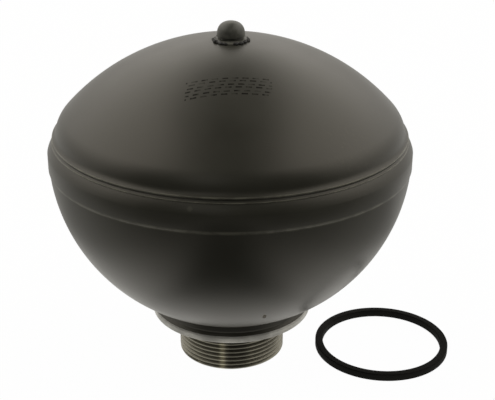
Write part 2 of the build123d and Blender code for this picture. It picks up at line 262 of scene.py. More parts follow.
class ShellForm:
    """Heights and radii that both pressings, the plug and the rubber share."""

    def __init__(self):
        shell, neck = settings("shell"), settings("neck")
        self.collar_top = neck.length + neck.collar_height
        rise = math.sqrt(shell.bowl_radius ** 2 - neck.boss_radius ** 2)
        self.bowl_centre = self.collar_top + neck.boss_rise + rise
        self.bowl_inside = shell.bowl_radius - shell.wall
        self.skirt_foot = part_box("upper_shell")[0].z
        self.seam = self.skirt_foot + shell.skirt_depth
        self.band_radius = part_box("lower_shell")[1].x
        self.seam_radius = self.band_radius - shell.seam_depth
        self.skirt_radius = shell.bowl_radius - shell.setback
        self.skirt_inside = self.skirt_radius - shell.wall
        self.rim_bore = self.skirt_radius + shell.skirt_fit
        self.knuckle = (self.skirt_radius - shell.knuckle_radius, self.seam)
        reach = shell.crown_radius - shell.knuckle_radius
        self.crown_drop = math.sqrt(reach ** 2 - self.knuckle[0] ** 2)
        self.crown_centre = self.seam - self.crown_drop
        self.crown_top = self.crown_centre + shell.crown_radius
        self.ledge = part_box("diaphragm")[1].z - settings("rubber").bead_height
        self.boss_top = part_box("diaphragm_button")[0].z - 0.1 * MM

    def crown_joint(self, radius):
        """Where a surface of the crown, at this radius, runs into the knuckle."""
        shell = settings("shell")
        share = radius / (shell.crown_radius - shell.knuckle_radius)
        return (self.knuckle[0] * share, self.crown_centre + self.crown_drop * share)


# Meshes

def finished(name, bm, materials, sharp=32):
    """Turn a bmesh into an object at the origin, smooth but for its sharp edges."""
    bmesh.ops.remove_doubles(bm, verts=bm.verts, dist=2e-7)
    bmesh.ops.recalc_face_normals(bm, faces=bm.faces)
    mesh = bpy.data.meshes.new(name)
    bm.to_mesh(mesh)
    bm.free()
    mesh.shade_smooth()
    mesh.set_sharp_from_angle(angle=math.radians(sharp))
    piece = bpy.data.objects.new(name, mesh)
    for material in materials:
        mesh.materials.append(material)
    bpy.context.scene.collection.objects.link(piece)
    return piece


def spun(bm, outline, steps, closed=True, centre=(0, 0)):
    """Spin an outline of (radius, height) points a full turn about an upright axis."""
    x, y = centre
    verts = [bm.verts.new((x + r, y, z)) for r, z in outline]
    pairs = list(zip(verts, verts[1:])) + ([(verts[-1], verts[0])] if closed else [])
    edges = [bm.edges.new(pair) for pair in pairs]
    bmesh.ops.spin(bm, geom=verts + edges, cent=(x, y, 0), axis=(0, 0, 1), dvec=(0, 0, 0),
                   angle=2 * math.pi, steps=steps, use_merge=True, use_duplicate=False)


def placed(piece, body, slot, *nodes):
    """Tie a finished piece to its body and hide the nodes that it stands for; the slot is not used."""
    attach(piece, body)
    if nodes:
        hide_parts(*nodes)
    return piece


# Shader helpers

class Nodes:
    """Short calls to place and join the nodes of a material, world or group."""

    def __init__(self, tree):
        self.tree = tree

    def add(self, kind, **fields):
        node = self.tree.nodes.new(kind)
        for key, value in fields.items():
            setattr(node, key, value)
        return node

    def join(self, source, target):
        self.tree.links.new(source, target)

    def feed(self, socket, value):
        """Set a socket to a constant, or link another socket to it."""
        if isinstance(value, bpy.types.NodeSocket):
            self.join(value, socket)
        else:
            socket.default_value = value

    def math(self, operation, *values, clamp=False):
        node = self.add("ShaderNodeMath", operation=operation, use_clamp=clamp)
        for socket, value in zip(node.inputs, values):
            self.feed(socket, value)
        return node.outputs[0]

    def ramp(self, value, low, high, to_low=0.0, to_high=1.0, smooth=True):
        node = self.add("ShaderNodeMapRange", clamp=True,
                        interpolation_type="SMOOTHSTEP" if smooth else "LINEAR")
        for socket, given in zip(node.inputs, (value, low, high, to_low, to_high)):
            self.feed(socket, given)
        return node.outputs[0]

    def noise(self, vector, scale, detail=3.0, roughness=0.5):
        node = self.add("ShaderNodeTexNoise")
        self.feed(node.inputs["Vector"], vector)
        node.inputs["Scale"].default_value = scale
        node.inputs["Detail"].default_value = detail
        node.inputs["Roughness"].default_value = roughness
        return node.outputs["Fac"]

    def mix(self, factor, first, second):
        node = self.add("ShaderNodeMix", data_type="RGBA")
        for socket, value in zip((node.inputs[0], node.inputs[6], node.inputs[7]), (factor, first, second)):
            self.feed(socket, value)
        return node.outputs[2]

    def bump(self, height, distance, strength=1.0, normal=None):
        node = self.add("ShaderNodeBump")
        node.inputs["Strength"].default_value = strength
        node.inputs["Distance"].default_value = distance
        self.feed(node.inputs["Height"], height)
        if normal is not None:
            self.join(normal, node.inputs["Normal"])
        return node.outputs["Normal"]

    def group(self, tree, **values):
        node = self.add("ShaderNodeGroup", node_tree=tree)
        for key, value in values.items():
            self.feed(node.inputs[key.replace("_", " ")], value)
        return node.outputs


def rgba(rgb, share=1.0):
    return (rgb[0] * share, rgb[1] * share, rgb[2] * share, 1.0)


LOOK = "look_"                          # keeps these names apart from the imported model's own


def material_of(name):
    """A new material with its Principled shader, its nodes and its Object coordinates."""
    material = bpy.data.materials.new(LOOK + name)
    material.use_nodes = True
    nodes = Nodes(material.node_tree)
    shader = material.node_tree.nodes["Principled BSDF"]
    place = nodes.add("ShaderNodeTexCoord").outputs["Object"]
    return material, nodes, shader, place


def group_of(name, inputs, outputs):
    """A node group with float or vector sockets."""
    tree = bpy.data.node_groups.new(name, "ShaderNodeTree")
    for key, kind in inputs:
        tree.interface.new_socket(key, in_out="INPUT", socket_type="NodeSocket" + kind)
    for key, kind in outputs:
        tree.interface.new_socket(key, in_out="OUTPUT", socket_type="NodeSocket" + kind)
    nodes = Nodes(tree)
    return tree, nodes, nodes.add("NodeGroupInput").outputs, nodes.add("NodeGroupOutput").inputs


def surface_grain():
    """Fine pebbling of paint and rubber, and slow clouds over the same surface."""
    tree, nodes, given, out = group_of(
        "surface_grain", [("Place", "Vector"), ("Fine", "Float"), ("Coarse", "Float")],
        [("Height", "Float"), ("Cloud", "Float")])
    fine = nodes.add("ShaderNodeTexNoise")
    fine.inputs["Detail"].default_value = 2.0
    nodes.join(given["Place"], fine.inputs["Vector"])
    nodes.join(given["Fine"], fine.inputs["Scale"])
    coarse = nodes.add("ShaderNodeTexNoise")
    coarse.inputs["Detail"].default_value = 4.0
    nodes.join(given["Place"], coarse.inputs["Vector"])
    nodes.join(given["Coarse"], coarse.inputs["Scale"])
    nodes.join(fine.outputs["Fac"], out["Height"])
    nodes.join(nodes.ramp(coarse.outputs["Fac"], 0.36, 0.64), out["Cloud"])
    return tree


def turning_marks():
    """Rings left by a lathe tool about the axis, as a height and a soft mask."""
    tree, nodes, given, out = group_of(
        "turning_marks", [("Place", "Vector"), ("Pitch", "Float")],
        [("Height", "Float"), ("Mask", "Float")])
    parts = nodes.add("ShaderNodeSeparateXYZ")
    nodes.join(given["Place"], parts.inputs[0])
    x, y, z = parts.outputs
    radius = nodes.math("SQRT", nodes.math("ADD", nodes.math("MULTIPLY", x, x),
                                           nodes.math("MULTIPLY", y, y)))
    along = nodes.math("ADD", radius, z)
    phase = nodes.math("MULTIPLY", nodes.math("DIVIDE", along, given["Pitch"]), 2 * math.pi)
    line = nodes.math("MULTIPLY_ADD", nodes.math("SINE", phase), 0.5, 0.5)
    steps = nodes.add("ShaderNodeCombineXYZ")
    nodes.join(nodes.math("MULTIPLY", along, 900.0), steps.inputs[0])
    uneven = nodes.noise(steps.outputs[0], 1.0, 2.0)
    nodes.join(nodes.math("MULTIPLY", line, uneven), out["Height"])
    nodes.join(nodes.ramp(uneven, 0.3, 0.7), out["Mask"])
    return tree


def dust_specks():
    """Sparse pale specks, as a mask."""
    tree, nodes, given, out = group_of(
        "dust_specks", [("Place", "Vector"), ("Spacing", "Float"), ("Share", "Float")],
        [("Mask", "Float")])
    cells = nodes.add("ShaderNodeTexVoronoi")
    nodes.join(given["Place"], cells.inputs["Vector"])
    nodes.join(nodes.math("DIVIDE", 1.0, given["Spacing"]), cells.inputs["Scale"])
    pick = nodes.add("ShaderNodeSeparateColor")
    nodes.join(cells.outputs["Color"], pick.inputs[0])
    chosen = nodes.math("LESS_THAN", pick.outputs[0], given["Share"])
    dot = nodes.ramp(cells.outputs["Distance"], 0.05, 0.12, 1.0, 0.0)
    nodes.join(nodes.math("MULTIPLY", dot, chosen), out["Mask"])
    return tree


def shared(maker):
    """The node group that a maker function builds, built once."""
    return bpy.data.node_groups.get(maker.__name__) or maker()


def spot(nodes, place, centre, radius, soft, drip=1.0):
    """Mask of a ball about a point, 1 inside and 0 outside, drawn out in Y and Z by drip."""
    squash = (1.0, 1 / drip, 1 / drip)
    squashed = nodes.add("ShaderNodeVectorMath", operation="MULTIPLY")
    nodes.join(place, squashed.inputs[0])
    squashed.inputs[1].default_value = squash
    away = nodes.add("ShaderNodeVectorMath", operation="DISTANCE")
    nodes.join(squashed.outputs[0], away.inputs[0])
    away.inputs[1].default_value = [at * share for at, share in zip(centre, squash)]
    return nodes.ramp(away.outputs["Value"], radius, radius + soft, 1.0, 0.0)


# Materials

def shell_paint():
    """Satin dark olive paint with faint clouds, dust, scuffs and plain ink marks, with painted highlights along
    the seam's ridges and the band's foot and painted shade low on the bowl by the neck.
    """
    material, nodes, shader, place = material_of("shell_paint")
    finish = settings("finish")
    grain = nodes.group(shared(surface_grain), Place=place, Fine=1500.0, Coarse=38.0)
    specks = nodes.group(shared(dust_specks), Place=place, Spacing=0.009, Share=0.05)["Mask"]
    tone = nodes.mix(grain["Cloud"], rgba(finish.paint_deep), rgba(finish.paint))
    scuff_place = spot(nodes, place, SCUFF, 5 * MM, 9 * MM)
    scratches = nodes.ramp(nodes.noise(place, 420.0, 5.0, 0.7), 0.52, 0.66)
    scuff = nodes.math("MULTIPLY", scuff_place, scratches)
    tone = nodes.mix(nodes.math("MULTIPLY", scuff, 0.35), tone, rgba(finish.paint, 2.4))
    tone = nodes.mix(nodes.math("MULTIPLY", specks, 0.2), tone, rgba(finish.paint, 5.0))
    chip = spot(nodes, place, PINHOLE, 0.5 * MM, 0.15 * MM, 3.0)
    # Painted highlights: the paint lighter in thin lines along the seam's ridges and the band's foot.
    wear_and_highlight = rubbed_lines(nodes, place)
    tone = nodes.mix(wear_and_highlight, tone, rgba(finish.paint, 4.2))
    parts = nodes.add("ShaderNodeSeparateXYZ")
    nodes.join(place, parts.inputs[0])
    # Painted shade: the bowl's paint just above the collar darkened to the ink colour, most at the front.
    painted_neck_shade = nodes.math("MULTIPLY", nodes.ramp(parts.outputs[2], 18.2 * MM, 19.2 * MM),
                        nodes.ramp(parts.outputs[2], 22.4 * MM, 26.0 * MM, 0.85, 0.0))
    sideways = nodes.math("ABSOLUTE", parts.outputs[0])
    painted_neck_shade = nodes.math("MULTIPLY", painted_neck_shade, nodes.ramp(sideways, 6 * MM, 22 * MM, 1.0, 0.3))
    # Ink, the pinhole and the painted shade by the neck, together.
    marks = nodes.math("MAXIMUM", nodes.math("MAXIMUM", ink_marks(nodes, place), chip), painted_neck_shade)
    tone = nodes.mix(marks, tone, rgba(finish.ink))
    nodes.join(tone, shader.inputs["Base Color"])
    # Dark base with full Metallic reflects almost nothing, for the matt ink and the painted shade by the neck
    nodes.join(marks, shader.inputs["Metallic"])
    shader.inputs["Specular Tint"].default_value = (1.0, 0.95, 0.86, 1.0)
    rough = nodes.math("MULTIPLY_ADD", grain["Cloud"], 0.05, 0.32)
    rough = nodes.math("MULTIPLY_ADD", scuff, 0.12, rough)
    rough = nodes.math("MULTIPLY_ADD", marks, 0.1, rough)
    nodes.join(rough, shader.inputs["Roughness"])
    level = nodes.math("SUBTRACT", grain["Height"], nodes.math("MULTIPLY", chip, 12.0))
    nodes.join(nodes.bump(level, 0.012 * MM), shader.inputs["Normal"])
    return material


def rubbed_lines(nodes, place):
    """Mask of painted highlights: thin lines along the seam's fine ridges and the band's foot."""
    shell, form = settings("shell"), ShellForm()
    parts = nodes.add("ShaderNodeSeparateXYZ")
    nodes.join(place, parts.inputs[0])
    weld = form.seam + shell.weld_ridge_height - shell.weld_ridge_width / 2
    rim = form.seam - shell.rim_ridge_drop + shell.rim_ridge_width / 2
    foot = form.seam - shell.band_height + shell.band_edge / 2
    lines = None
    for height, half, share in ((weld, 0.35, 0.9), (rim, 0.35, 0.9), (foot, 0.8, 0.7)):
        off = nodes.math("ABSOLUTE", nodes.math("SUBTRACT", parts.outputs[2], height))
        line = nodes.ramp(off, half * 0.3 * MM, half * MM, share, 0.0)
        lines = line if lines is None else nodes.math("MAXIMUM", lines, line)
    # Breaks the painted highlights into patches.
    patchy = nodes.ramp(nodes.noise(place, 240.0, 3.0), 0.34, 0.62, 0.4, 1.0)
    return nodes.math("MULTIPLY", lines, patchy)


PRINT_ROWS = (26.2, 28.7, 31.2)         # three rows of marks, millimetres from the axis
PRINT_CENTRE = 0.5
PRINT_HALF_WIDTH = 12.3
PRINT_APART = 0.55                      # each row is two fine lines, this far from its middle
PRINT_LINE = 0.26
PRINT_PITCH = 2.9
PRINT_DASH = 0.62
PRINT_RISE = 0.09                       # how far the rows run back, over their length


def ink_marks(nodes, place):
    """Mask of three rows of plain broken lines on the front of the dome."""
    parts = nodes.add("ShaderNodeSeparateXYZ")
    nodes.join(place, parts.inputs[0])
    x, y, up = parts.outputs
    across = nodes.math("SUBTRACT", x, PRINT_CENTRE * MM)
    forward = nodes.math("SUBTRACT", y, nodes.math("MULTIPLY", across, PRINT_RISE))
    inside = nodes.math("LESS_THAN", nodes.math("ABSOLUTE", across), PRINT_HALF_WIDTH * MM)
    front = nodes.math("MULTIPLY", nodes.math("LESS_THAN", y, 0.0), nodes.math("GREATER_THAN", up, 0.08))
    rows = None
    for index, distance in enumerate(PRINT_ROWS):
        for side in (-1, 1):
            middle = (distance + side * PRINT_APART) * MM
            off = nodes.math("ABSOLUTE", nodes.math("ADD", forward, middle))
            line = nodes.ramp(off, PRINT_LINE * MM * 0.6, PRINT_LINE * MM * 1.4, 1.0, 0.0)
            shifted = nodes.math("ADD", across, 1.0 + (index * 1.1 + side * 0.35) * MM)
            step = nodes.math("FRACT", nodes.math("DIVIDE", shifted, PRINT_PITCH * MM))
            line = nodes.math("MULTIPLY", line, nodes.math("LESS_THAN", step, PRINT_DASH))
            rows = line if rows is None else nodes.math("MAXIMUM", rows, line)
    patchy = nodes.ramp(nodes.noise(place, 520.0, 2.0), 0.36, 0.56, 0.25, 0.95)
    return nodes.math("MULTIPLY", nodes.math("MULTIPLY", rows, patchy), nodes.math("MULTIPLY", inside, front))


def plug_paint():
    """The same paint, thicker and glossier over the plug and its weld."""
    material, nodes, shader, place = material_of("plug_paint")
    finish = settings("finish")
    grain = nodes.group(shared(surface_grain), Place=place, Fine=2600.0, Coarse=500.0)
    tone = nodes.mix(grain["Cloud"], rgba(finish.plug_paint, 0.7), rgba(finish.plug_paint, 1.15))
    nodes.join(tone, shader.inputs["Base Color"])
    nodes.join(nodes.math("MULTIPLY_ADD", grain["Cloud"], 0.08, 0.42), shader.inputs["Roughness"])
    nodes.join(nodes.bump(grain["Height"], 0.02 * MM), shader.inputs["Normal"])
    return material


def weld_flash():
    """Dark scorched beads squeezed out by the resistance weld."""
    material, nodes, shader, place = material_of("weld_flash")
    grain = nodes.group(shared(surface_grain), Place=place, Fine=4200.0, Coarse=900.0)
    tone = nodes.mix(grain["Cloud"], (0.004, 0.004, 0.003, 1.0), (0.014, 0.013, 0.010, 1.0))
    nodes.join(tone, shader.inputs["Base Color"])
    nodes.join(nodes.math("MULTIPLY_ADD", grain["Cloud"], 0.2, 0.5), shader.inputs["Roughness"])
    nodes.join(nodes.bump(grain["Height"], 0.04 * MM), shader.inputs["Normal"])
    return material


def neck_steel():
    """Phosphated thread, dark in the roots and rubbed bright on the crests, with a painted highlight streak and a
    painted dark reflection on its front.
    """
    material, nodes, shader, place = material_of("neck_steel")
    finish, neck = settings("finish"), settings("neck")
    marks = nodes.group(shared(turning_marks), Place=place, Pitch=0.00021)
    grain = nodes.group(shared(surface_grain), Place=place, Fine=5200.0, Coarse=240.0)
    parts = nodes.add("ShaderNodeSeparateXYZ")
    nodes.join(place, parts.inputs[0])
    x, y, z = parts.outputs
    radius = nodes.math("SQRT", nodes.math("ADD", nodes.math("MULTIPLY", x, x),
                                           nodes.math("MULTIPLY", y, y)))
    root = neck.thread_radius - neck.thread_depth
    height = nodes.ramp(radius, root, neck.thread_radius)
    uneven = nodes.math("MULTIPLY_ADD", grain["Cloud"], 0.3, -0.15)
    wear_and_highlight = nodes.math("ADD", height, uneven, clamp=True)
    tone = nodes.mix(wear_and_highlight, rgba(finish.thread_root), rgba(finish.thread_crest))
    front = nodes.math("LESS_THAN", y, 0.0)
    # Painted dark reflection: a band just right of the middle of the front, darkened towards the root colour.
    painted_dark_reflection = nodes.math("MULTIPLY", nodes.ramp(x, -1.2 * MM, 0.2 * MM), nodes.ramp(x, 4.0 * MM, 7.5 * MM, 1.0, 0.0))
    painted_dark_reflection = nodes.math("MULTIPLY", nodes.math("MULTIPLY", painted_dark_reflection, front), 0.6)
    tone = nodes.mix(painted_dark_reflection, tone, rgba(finish.thread_root, 0.5))
    # Painted highlight: a pale streak just left of the middle of the front.
    painted_streak_highlight = nodes.ramp(nodes.math("ABSOLUTE", nodes.math("ADD", x, 2.4 * MM)), 0.2 * MM, 1.5 * MM, 0.5, 0.0)
    tone = nodes.mix(nodes.math("MULTIPLY", painted_streak_highlight, front), tone, (0.66, 0.62, 0.45, 1.0))
    nodes.join(tone, shader.inputs["Base Color"])
    shader.inputs["Metallic"].default_value = 0.6
    nodes.join(nodes.math("MULTIPLY_ADD", wear_and_highlight, -0.14, 0.46), shader.inputs["Roughness"])
    level = nodes.math("ADD", nodes.math("MULTIPLY", marks["Height"], 0.6), grain["Height"])
    nodes.join(nodes.bump(level, 0.006 * MM), shader.inputs["Normal"])
    return material


def collar_steel():
    """Turned steel of the collar's edge, under a thin wash of paint that has rubbed away."""
    material, nodes, shader, place = material_of("collar_steel")
    finish = settings("finish")
    marks = nodes.group(shared(turning_marks), Place=place, Pitch=0.00034)
    grain = nodes.group(shared(surface_grain), Place=place, Fine=2600.0, Coarse=130.0)
    tone = nodes.mix(grain["Cloud"], rgba(finish.collar, 0.6), rgba(finish.collar))
    nodes.join(tone, shader.inputs["Base Color"])
    nodes.join(nodes.math("MULTIPLY_ADD", grain["Cloud"], 0.3, 0.2), shader.inputs["Metallic"])
    nodes.join(nodes.math("MULTIPLY_ADD", marks["Mask"], 0.1, 0.36), shader.inputs["Roughness"])
    nodes.join(nodes.bump(marks["Height"], 0.008 * MM), shader.inputs["Normal"])
    return material


def machined(name, tint, roughness, pitch=0.00025, metallic=1.0, relief=0.004):
    """Turned or ground metal with tool rings and slow tarnish."""
    material, nodes, shader, place = material_of(name)
    marks = nodes.group(shared(turning_marks), Place=place, Pitch=pitch)
    grain = nodes.group(shared(surface_grain), Place=place, Fine=3800.0, Coarse=320.0)
    tone = nodes.mix(grain["Cloud"], rgba(tint, 0.72), rgba(tint, 1.08))
    nodes.join(tone, shader.inputs["Base Color"])
    shader.inputs["Metallic"].default_value = metallic
    nodes.join(nodes.math("MULTIPLY_ADD", marks["Mask"], 0.1, roughness), shader.inputs["Roughness"])
    level = nodes.math("ADD", marks["Height"], nodes.math("MULTIPLY", grain["Height"], 0.5))
    nodes.join(nodes.bump(level, relief * MM), shader.inputs["Normal"])
    return material


def rubber(name, tint, roughness, sheen, specular):
    """Moulded rubber: fine pebbling, dull clouds and a faint dusty sheen."""
    material, nodes, shader, place = material_of(name)
    grain = nodes.group(shared(surface_grain), Place=place, Fine=3200.0, Coarse=160.0)
    specks = nodes.group(shared(dust_specks), Place=place, Spacing=0.003, Share=0.06)["Mask"]
    tone = nodes.mix(grain["Cloud"], rgba(tint, 0.75), rgba(tint, 1.25))
    tone = nodes.mix(nodes.math("MULTIPLY", specks, 0.3), tone, rgba(tint, 6.0))
    nodes.join(tone, shader.inputs["Base Color"])
    nodes.join(nodes.math("MULTIPLY_ADD", grain["Cloud"], 0.12, roughness), shader.inputs["Roughness"])
    shader.inputs["Sheen Weight"].default_value = sheen
    shader.inputs["Sheen Roughness"].default_value = 0.5
    shader.inputs["Specular IOR Level"].default_value = specular
    nodes.join(nodes.bump(grain["Height"], 0.012 * MM), shader.inputs["Normal"])
    return material


def plastic():
    """Moulded cream plastic with a fine matt grain."""
    material, nodes, shader, place = material_of("button_plastic")
    tint = settings("finish").plastic
    grain = nodes.group(shared(surface_grain), Place=place, Fine=2400.0, Coarse=200.0)
    tone = nodes.mix(grain["Cloud"], rgba(tint, 0.92), rgba(tint))
    nodes.join(tone, shader.inputs["Base Color"])
    nodes.join(nodes.math("MULTIPLY_ADD", grain["Cloud"], 0.06, 0.42), shader.inputs["Roughness"])
    shader.inputs["Subsurface Weight"].default_value = 0.05
    nodes.join(nodes.bump(grain["Height"], 0.008 * MM), shader.inputs["Normal"])
    return material


MATERIAL_MAKERS = {
    "shell_paint": shell_paint,
    "plug_paint": plug_paint,
    "weld_flash": weld_flash,
    "neck_steel": neck_steel,
    "collar_steel": collar_steel,
    "turned_steel": lambda: machined("turned_steel", settings("finish").turned, 0.30),
    "spring_steel": lambda: machined("spring_steel", settings("finish").spring, 0.26, 0.00018),
    "sintered_steel": lambda: machined("sintered_steel", settings("finish").sintered, 0.38),
    "gasket_brass": lambda: machined("gasket_brass", settings("finish").brass, 0.33),
    "diaphragm_rubber": lambda: rubber("diaphragm_rubber", settings("finish").diaphragm, 0.55, 0.15, 0.5),
    "seal_rubber": lambda: rubber("seal_rubber", settings("finish").seal, 0.74, 0.0, 0.1),
    "button_plastic": plastic,
}


def finish_named(name):
    """The material of that name, made when it is first asked for."""
    return bpy.data.materials.get(LOOK + name) or MATERIAL_MAKERS[name]()


# Pieces

# Points on the surface that the photograph shows: a pinhole low on the bowl, scuffs on the dome
PINHOLE = (11.4 * MM, -40.4 * MM, 33.1 * MM)
SCUFF = (35.5 * MM, -38.5 * MM, 83.8 * MM)


class ACCUMULATOR_OT_dome(bpy.types.Operator):
    """Spin the shallow upper pressing with its skirt and the weld's ridge"""
    bl_idname = "accumulator.dome"
    bl_label = "Dome"

    def execute(self, context):
        shell, form, plug = settings("shell"), ShellForm(), settings("plug")
        hole = plug.shank_radius + 0.05 * MM
        inner_crown = shell.crown_radius - shell.wall
        outer_joint, inner_joint = form.crown_joint(shell.crown_radius), form.crown_joint(inner_crown)
        toe_reach = math.sqrt(shell.knuckle_radius ** 2 - shell.weld_toe_height ** 2)
        toe = (form.knuckle[0] + toe_reach, form.seam + shell.weld_toe_height)
        ridge_end = (form.seam_radius - shell.weld_ridge_lean, form.seam + shell.weld_ridge_height)
        ridge_foot = (form.seam_radius, ridge_end[1] - shell.weld_ridge_width)
        ridge_crest = (form.seam_radius + shell.weld_ridge_proud, ridge_end[1] - shell.weld_ridge_width / 2)
        slope = ((ridge_end[0] + toe[0]) / 2 - shell.weld_toe_hollow, (ridge_end[1] + toe[1]) / 2)
        groove = (form.seam_radius - shell.seam_hollow, form.seam)
        crown = (0, form.crown_centre)
        outline = (
            arc(crown, at_radius(form.crown_centre, shell.crown_radius, hole), outer_joint, 56)[:-1]
            + arc(form.knuckle, outer_joint, toe, 12)[:-1]
            + arc_through(toe, slope, ridge_end, 6)[:-1]
            + arc_through(ridge_end, ridge_crest, ridge_foot, 6)
            + [groove, (form.skirt_radius, form.seam), (form.skirt_radius, form.skirt_foot),
               (form.skirt_inside, form.skirt_foot)]
            + arc(form.knuckle, (form.skirt_inside, form.seam), inner_joint, 10)[:-1]
            + arc(crown, inner_joint, at_radius(form.crown_centre, inner_crown, hole), 24)
        )
        bm = bmesh.new()
        spun(bm, outline, AROUND)
        piece = finished("painted_dome", bm, [finish_named("shell_paint")])
        placed(piece, "housing", "shell_paint", "upper_shell")
        return {"FINISHED"}


class ACCUMULATOR_OT_bowl(bpy.types.Operator):
    """Spin the hemispherical lower pressing with its sized band"""
    bl_idname = "accumulator.bowl"
    bl_label = "Bowl"

    def execute(self, context):
        shell, form, neck = settings("shell"), ShellForm(), settings("neck")
        centre = (0, form.bowl_centre)
        hole_outside = at_radius(form.bowl_centre, shell.bowl_radius, neck.boss_radius, -1)
        hole_inside = at_radius(form.bowl_centre, form.bowl_inside, neck.boss_radius, -1)
        band_foot = at_height(form.bowl_centre, shell.bowl_radius, form.seam - shell.band_height)
        round_foot = (form.band_radius, form.seam - shell.rim_round_height)
        ridge = (form.band_radius - shell.rim_ridge_inset, form.seam - shell.rim_ridge_drop)
        ridge_crest = (ridge[0] + shell.rim_ridge_proud, ridge[1] + shell.rim_ridge_width / 2)
        ridge_top = (ridge[0], ridge[1] + shell.rim_ridge_width)
        round_middle = ((round_foot[0] + ridge[0]) / 2 + shell.rim_round_bulge,
                        (round_foot[1] + ridge[1]) / 2)
        ledge_inside = at_height(form.bowl_centre, form.bowl_inside, form.ledge)
        outline = (
            arc(centre, hole_outside, band_foot, 56)
            + [(form.band_radius - shell.band_edge / 2, band_foot[1]),
               (form.band_radius, band_foot[1] + shell.band_edge)]
            + arc_through(round_foot, round_middle, ridge, 8)[:-1]
            + arc_through(ridge, ridge_crest, ridge_top, 6)
            + [(form.seam_radius - shell.seam_hollow, form.seam), (form.rim_bore, form.seam),
               (form.rim_bore, form.ledge)]
            + arc(centre, ledge_inside, hole_inside, 28)
        )
        bm = bmesh.new()
        spun(bm, outline, AROUND)
        piece = finished("painted_bowl", bm, [finish_named("shell_paint")])
        placed(piece, "housing", "shell_paint", "lower_shell")
        return {"FINISHED"}


class ACCUMULATOR_OT_plug(bpy.types.Operator):
    """Spin the filling plug and lay its broken ring of weld flash"""
    bl_idname = "accumulator.plug"
    bl_label = "Filling plug"

    def execute(self, context):
        plug, shell, form = settings("plug"), settings("shell"), ShellForm()
        centre = form.crown_top + plug.head_height
        lip = form.crown_top + plug.lip_height
        land = form.crown_top + plug.land_height
        corner = (plug.full_radius - plug.lip_round, lip + plug.lip_round)
        foot = at_radius(form.crown_centre, shell.crown_radius, plug.flash_radius + plug.flash_width / 2)
        shank_edge = at_radius(form.crown_centre, shell.crown_radius, plug.shank_radius)
        shank_foot = at_radius(form.crown_centre, shell.crown_radius - shell.wall, plug.shank_radius)[1]
        low_crest = at_radius(form.crown_centre, shell.crown_radius + plug.land_height, plug.flash_radius)
        outline = (
            [(0, shank_foot), (plug.shank_radius, shank_foot)]
            + arc((0, form.crown_centre), shank_edge, foot, 6)
            + [low_crest, (plug.flash_radius - plug.flash_width / 2, land)]
            + arc((plug.neck_radius + plug.lip_round, land + plug.lip_round),
                  (plug.neck_radius + plug.lip_round, land), (plug.neck_radius, land + plug.lip_round), 4)
            + [(plug.neck_radius, lip)]
            + arc(corner, (corner[0], lip), (plug.full_radius, corner[1]), 5)
            + [(plug.full_radius * math.cos(t) ** (2 / plug.fullness),
                centre + (plug.radius + 0.1 * MM) * math.sin(t) ** (2 / plug.fullness))
               for t in (math.pi / 2 * k / 28 for k in range(28))]
            + [(0, centre + plug.radius + 0.1 * MM)]
        )
        bm = bmesh.new()
        spun(bm, outline, 96, closed=False)
        piece = finished("painted_plug", bm, [finish_named("plug_paint")], sharp=40)
        placed(piece, "housing", "plug_paint", "filling_plug")
        placed(flash_beads(plug, shell, form), "housing", "plug_paint")
        return {"FINISHED"}


# Weld flash round the plug, by degrees counted from +X towards +Y: thin stretches by start, end
# and thickness share, then lumps by angle, millimetres outside the ring and bead share
FLASH_RUNS = (
    (160, 206, 0.9), (218, 234, 0.75), (244, 256, 0.8), (286, 300, 0.8), (312, 342, 0.9),
    (352, 385, 0.8), (40, 70, 0.75), (78, 118, 0.9), (124, 152, 0.7),
)
FLASH_LUMPS = (
    (183, 0.1, 1.5), (196, -0.1, 1.3), (213, 0.05, 1.9), (226, 0.1, 1.3), (239, 0.3, 1.75),
    (254, 0.15, 1.75), (289, 0.15, 1.8), (306, 0.35, 1.85), (327, 0.05, 1.75), (346, 0.2, 1.8),
    (5, 0.1, 1.3), (60, 0.0, 1.5), (100, 0.1, 1.6), (140, 0.1, 1.5),
)
FLASH_FORWARD = 1.2                     # millimetres that the ring lies off the axis, to the front
FLASH_CURL = (170, 208, 4.55)           # a curl inside the ring: degrees and radius in millimetres


def flash_beads(plug, shell, form):
    """Lumpy beads of squeezed out metal, fused by a fine remesh."""
    draw = random.Random(7)
    beads = []
    runs = [(start, end, share, plug.bead_ring) for start, end, share in FLASH_RUNS]
    runs.append((FLASH_CURL[0], FLASH_CURL[1], 0.8, FLASH_CURL[2] * MM))
    for angle, end, share, ring in runs:
        while angle < end:
            bead = plug.flash_bead * share * draw.uniform(0.7, 1.15)
            beads.append((angle, ring + draw.uniform(-0.2, 0.2) * MM, bead))
            angle += math.degrees(bead * draw.uniform(0.75, 1.15) / ring)
    for angle, outside, share in FLASH_LUMPS:
        for swing in (-3.5, 0.0, 3.0):
            beads.append((angle + swing, plug.bead_ring + (outside + draw.uniform(-0.15, 0.15)) * MM,
                          plug.flash_bead * share * draw.uniform(0.8, 1.05)))
    bm = bmesh.new()
    for angle, radius, bead in beads:
        turn = math.radians(angle)
        x, y = radius * math.cos(turn), radius * math.sin(turn) - FLASH_FORWARD * MM
        height = at_radius(form.crown_centre, shell.crown_radius, math.hypot(x, y))[1] + bead * 0.3
        made = bmesh.ops.create_icosphere(bm, subdivisions=2, radius=bead)
        bmesh.ops.scale(bm, vec=(1, 1, draw.uniform(0.75, 1.2)), verts=made["verts"])
        bmesh.ops.translate(bm, vec=(x, y, height), verts=made["verts"])
    piece = finished("weld_flash_beads", bm, [finish_named("weld_flash")])
    fuse = piece.modifiers.new("fuse", "REMESH")
    fuse.mode = "VOXEL"
    fuse.voxel_size = 0.07 * MM
    fuse.use_smooth_shade = True
    soften = piece.modifiers.new("soften", "SMOOTH")
    soften.factor = 0.5
    soften.iterations = 3
    return applied(piece)


